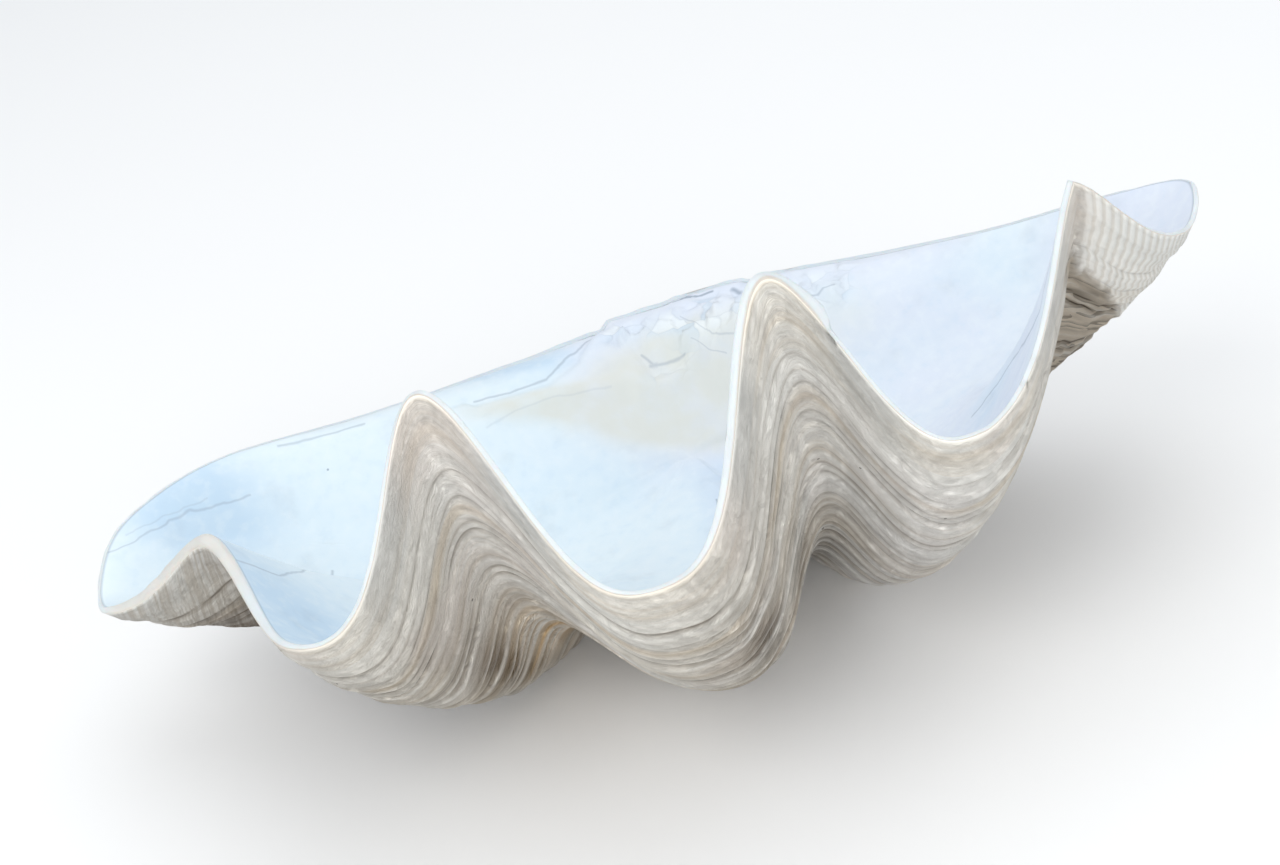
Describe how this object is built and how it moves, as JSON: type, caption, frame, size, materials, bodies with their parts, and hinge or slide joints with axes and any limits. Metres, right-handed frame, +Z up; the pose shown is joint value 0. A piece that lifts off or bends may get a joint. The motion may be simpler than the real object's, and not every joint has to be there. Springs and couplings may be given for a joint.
{
  "type": "giant clam half shell",
  "caption": "Half shell of a giant clam lying hollow side up: deep fluted ribs, wavy rim, pale smooth bowl and ledged beige outside; rests on a floor as a display piece or basin.",
  "frame": {"origin": "middle of the bounding box at floor level, under the shell as it rests", "axes": "+Z up, +X along the shell's length to the right end in the picture's view, +Y from the fluted front rim to the hinge"},
  "size_m": [0.7848, 0.4802, 0.331],
  "materials": {
    "shell": "satin, smooth pale inside and rough beige outside"
  },
  "bodies": {
    "root": {"shell": "shell"}
  },
  "joints": []
}
